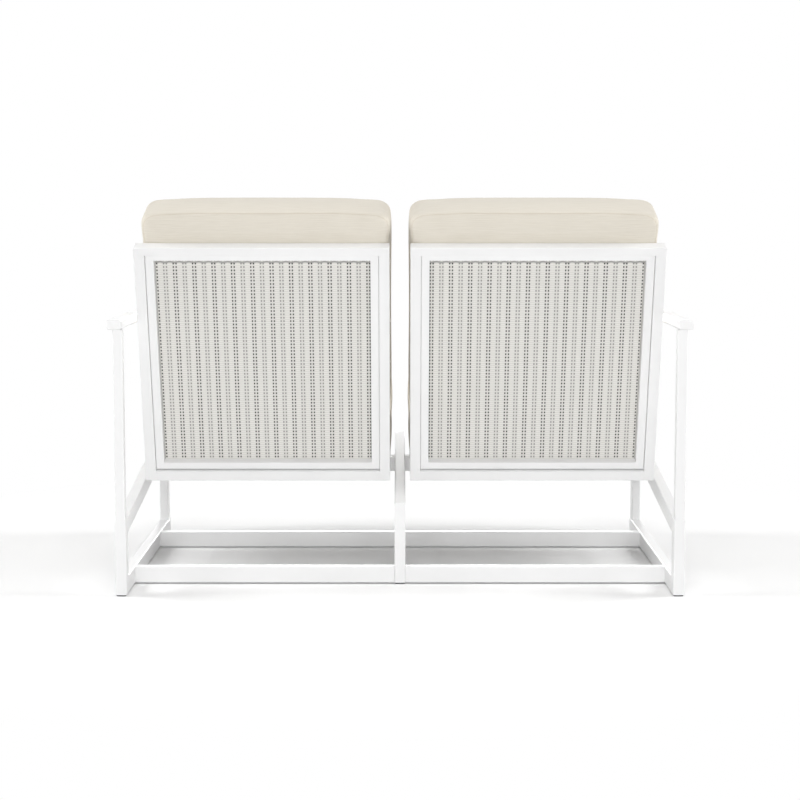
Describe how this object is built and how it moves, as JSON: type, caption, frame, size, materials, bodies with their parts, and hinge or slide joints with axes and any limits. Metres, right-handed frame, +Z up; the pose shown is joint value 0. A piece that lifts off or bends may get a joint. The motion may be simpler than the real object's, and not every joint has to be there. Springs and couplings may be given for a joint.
{
  "type": "outdoor rocking bench",
  "caption": "White tube-frame patio loveseat with two separate rocking seats, striped mesh slings, boxed beige cushions and flat arm rests",
  "frame": {"origin": "on the floor, midway between the outer faces of the arms and midway between the fronts and backs of the legs", "axes": "+Z up, the bench faces -Y, +X is the left of a person who sits on it"},
  "size_m": [1.301, 0.82, 0.8889],
  "materials": {
    "white_powder_coat": "matt white powder coat over aluminium tube",
    "cushion_cloth": "plain woven outdoor cloth, warm beige",
    "mesh_sling": "light grey woven mesh with fine vertical stripes",
    "glide_nylon": "black moulded nylon",
    "zinc_steel": "zinc-plated steel",
    "rubber": "black moulded rubber"
  },
  "bodies": {
    "frame": {"arm_rest_left": "white_powder_coat", "arm_rest_right": "white_powder_coat", "bracket_screws_left": "zinc_steel", "bracket_screws_right": "zinc_steel", "centre_front_leg": "white_powder_coat", "centre_rear_leg": "white_powder_coat", "centre_seat_rail": "white_powder_coat", "cross_rail_left": "white_powder_coat", "cross_rail_right": "white_powder_coat", "foot_glides": "glide_nylon", "front_base_rail_left": "white_powder_coat", "front_base_rail_right": "white_powder_coat", "front_post_left": "white_powder_coat", "front_post_right": "white_powder_coat", "pivot_bolts_left": "zinc_steel", "pivot_bolts_right": "zinc_steel", "pivot_brackets_left": "zinc_steel", "pivot_brackets_right": "zinc_steel", "pivot_nuts_left": "zinc_steel", "pivot_nuts_right": "zinc_steel", "rear_arm_post_left": "white_powder_coat", "rear_arm_post_right": "white_powder_coat", "rear_base_rail_left": "white_powder_coat", "rear_base_rail_right": "white_powder_coat", "rear_leg_left": "white_powder_coat", "rear_leg_right": "white_powder_coat", "rubber_stops_left": "rubber", "rubber_stops_right": "rubber", "seat_side_rail_left": "white_powder_coat", "seat_side_rail_right": "white_powder_coat", "side_base_rail_left": "white_powder_coat", "side_base_rail_right": "white_powder_coat"},
    "left_seat": {"seat_frame_left": "white_powder_coat", "back_frame_left": "white_powder_coat", "sling_frame_left": "white_powder_coat", "back_sling_left": "mesh_sling", "seat_sling_left": "mesh_sling", "pivot_bar_left": "white_powder_coat", "rockers_left": "zinc_steel", "pivot_bushes_left": "rubber", "rocker_screws_left": "zinc_steel", "seat_cushion_left": "cushion_cloth", "back_cushion_left": "cushion_cloth"},
    "right_seat": {"seat_frame_right": "white_powder_coat", "back_frame_right": "white_powder_coat", "sling_frame_right": "white_powder_coat", "back_sling_right": "mesh_sling", "seat_sling_right": "mesh_sling", "pivot_bar_right": "white_powder_coat", "rockers_right": "zinc_steel", "pivot_bushes_right": "rubber", "rocker_screws_right": "zinc_steel", "seat_cushion_right": "cushion_cloth", "back_cushion_right": "cushion_cloth"}
  },
  "joints": [
    {"name": "left_seat_rock", "type": "hinge", "parent": "frame", "child": "left_seat", "pos_m": [0.31285, -0.18985, 0.23812], "axis": [1, 0, 0], "range_deg": [-8, 6], "stiffness_Nm_per_rad": 900, "springref_deg": 3.57},
    {"name": "right_seat_rock", "type": "hinge", "parent": "frame", "child": "right_seat", "pos_m": [-0.31285, -0.18985, 0.23812], "axis": [1, 0, 0], "range_deg": [-8, 6], "stiffness_Nm_per_rad": 900, "springref_deg": 3.57}
  ]
}
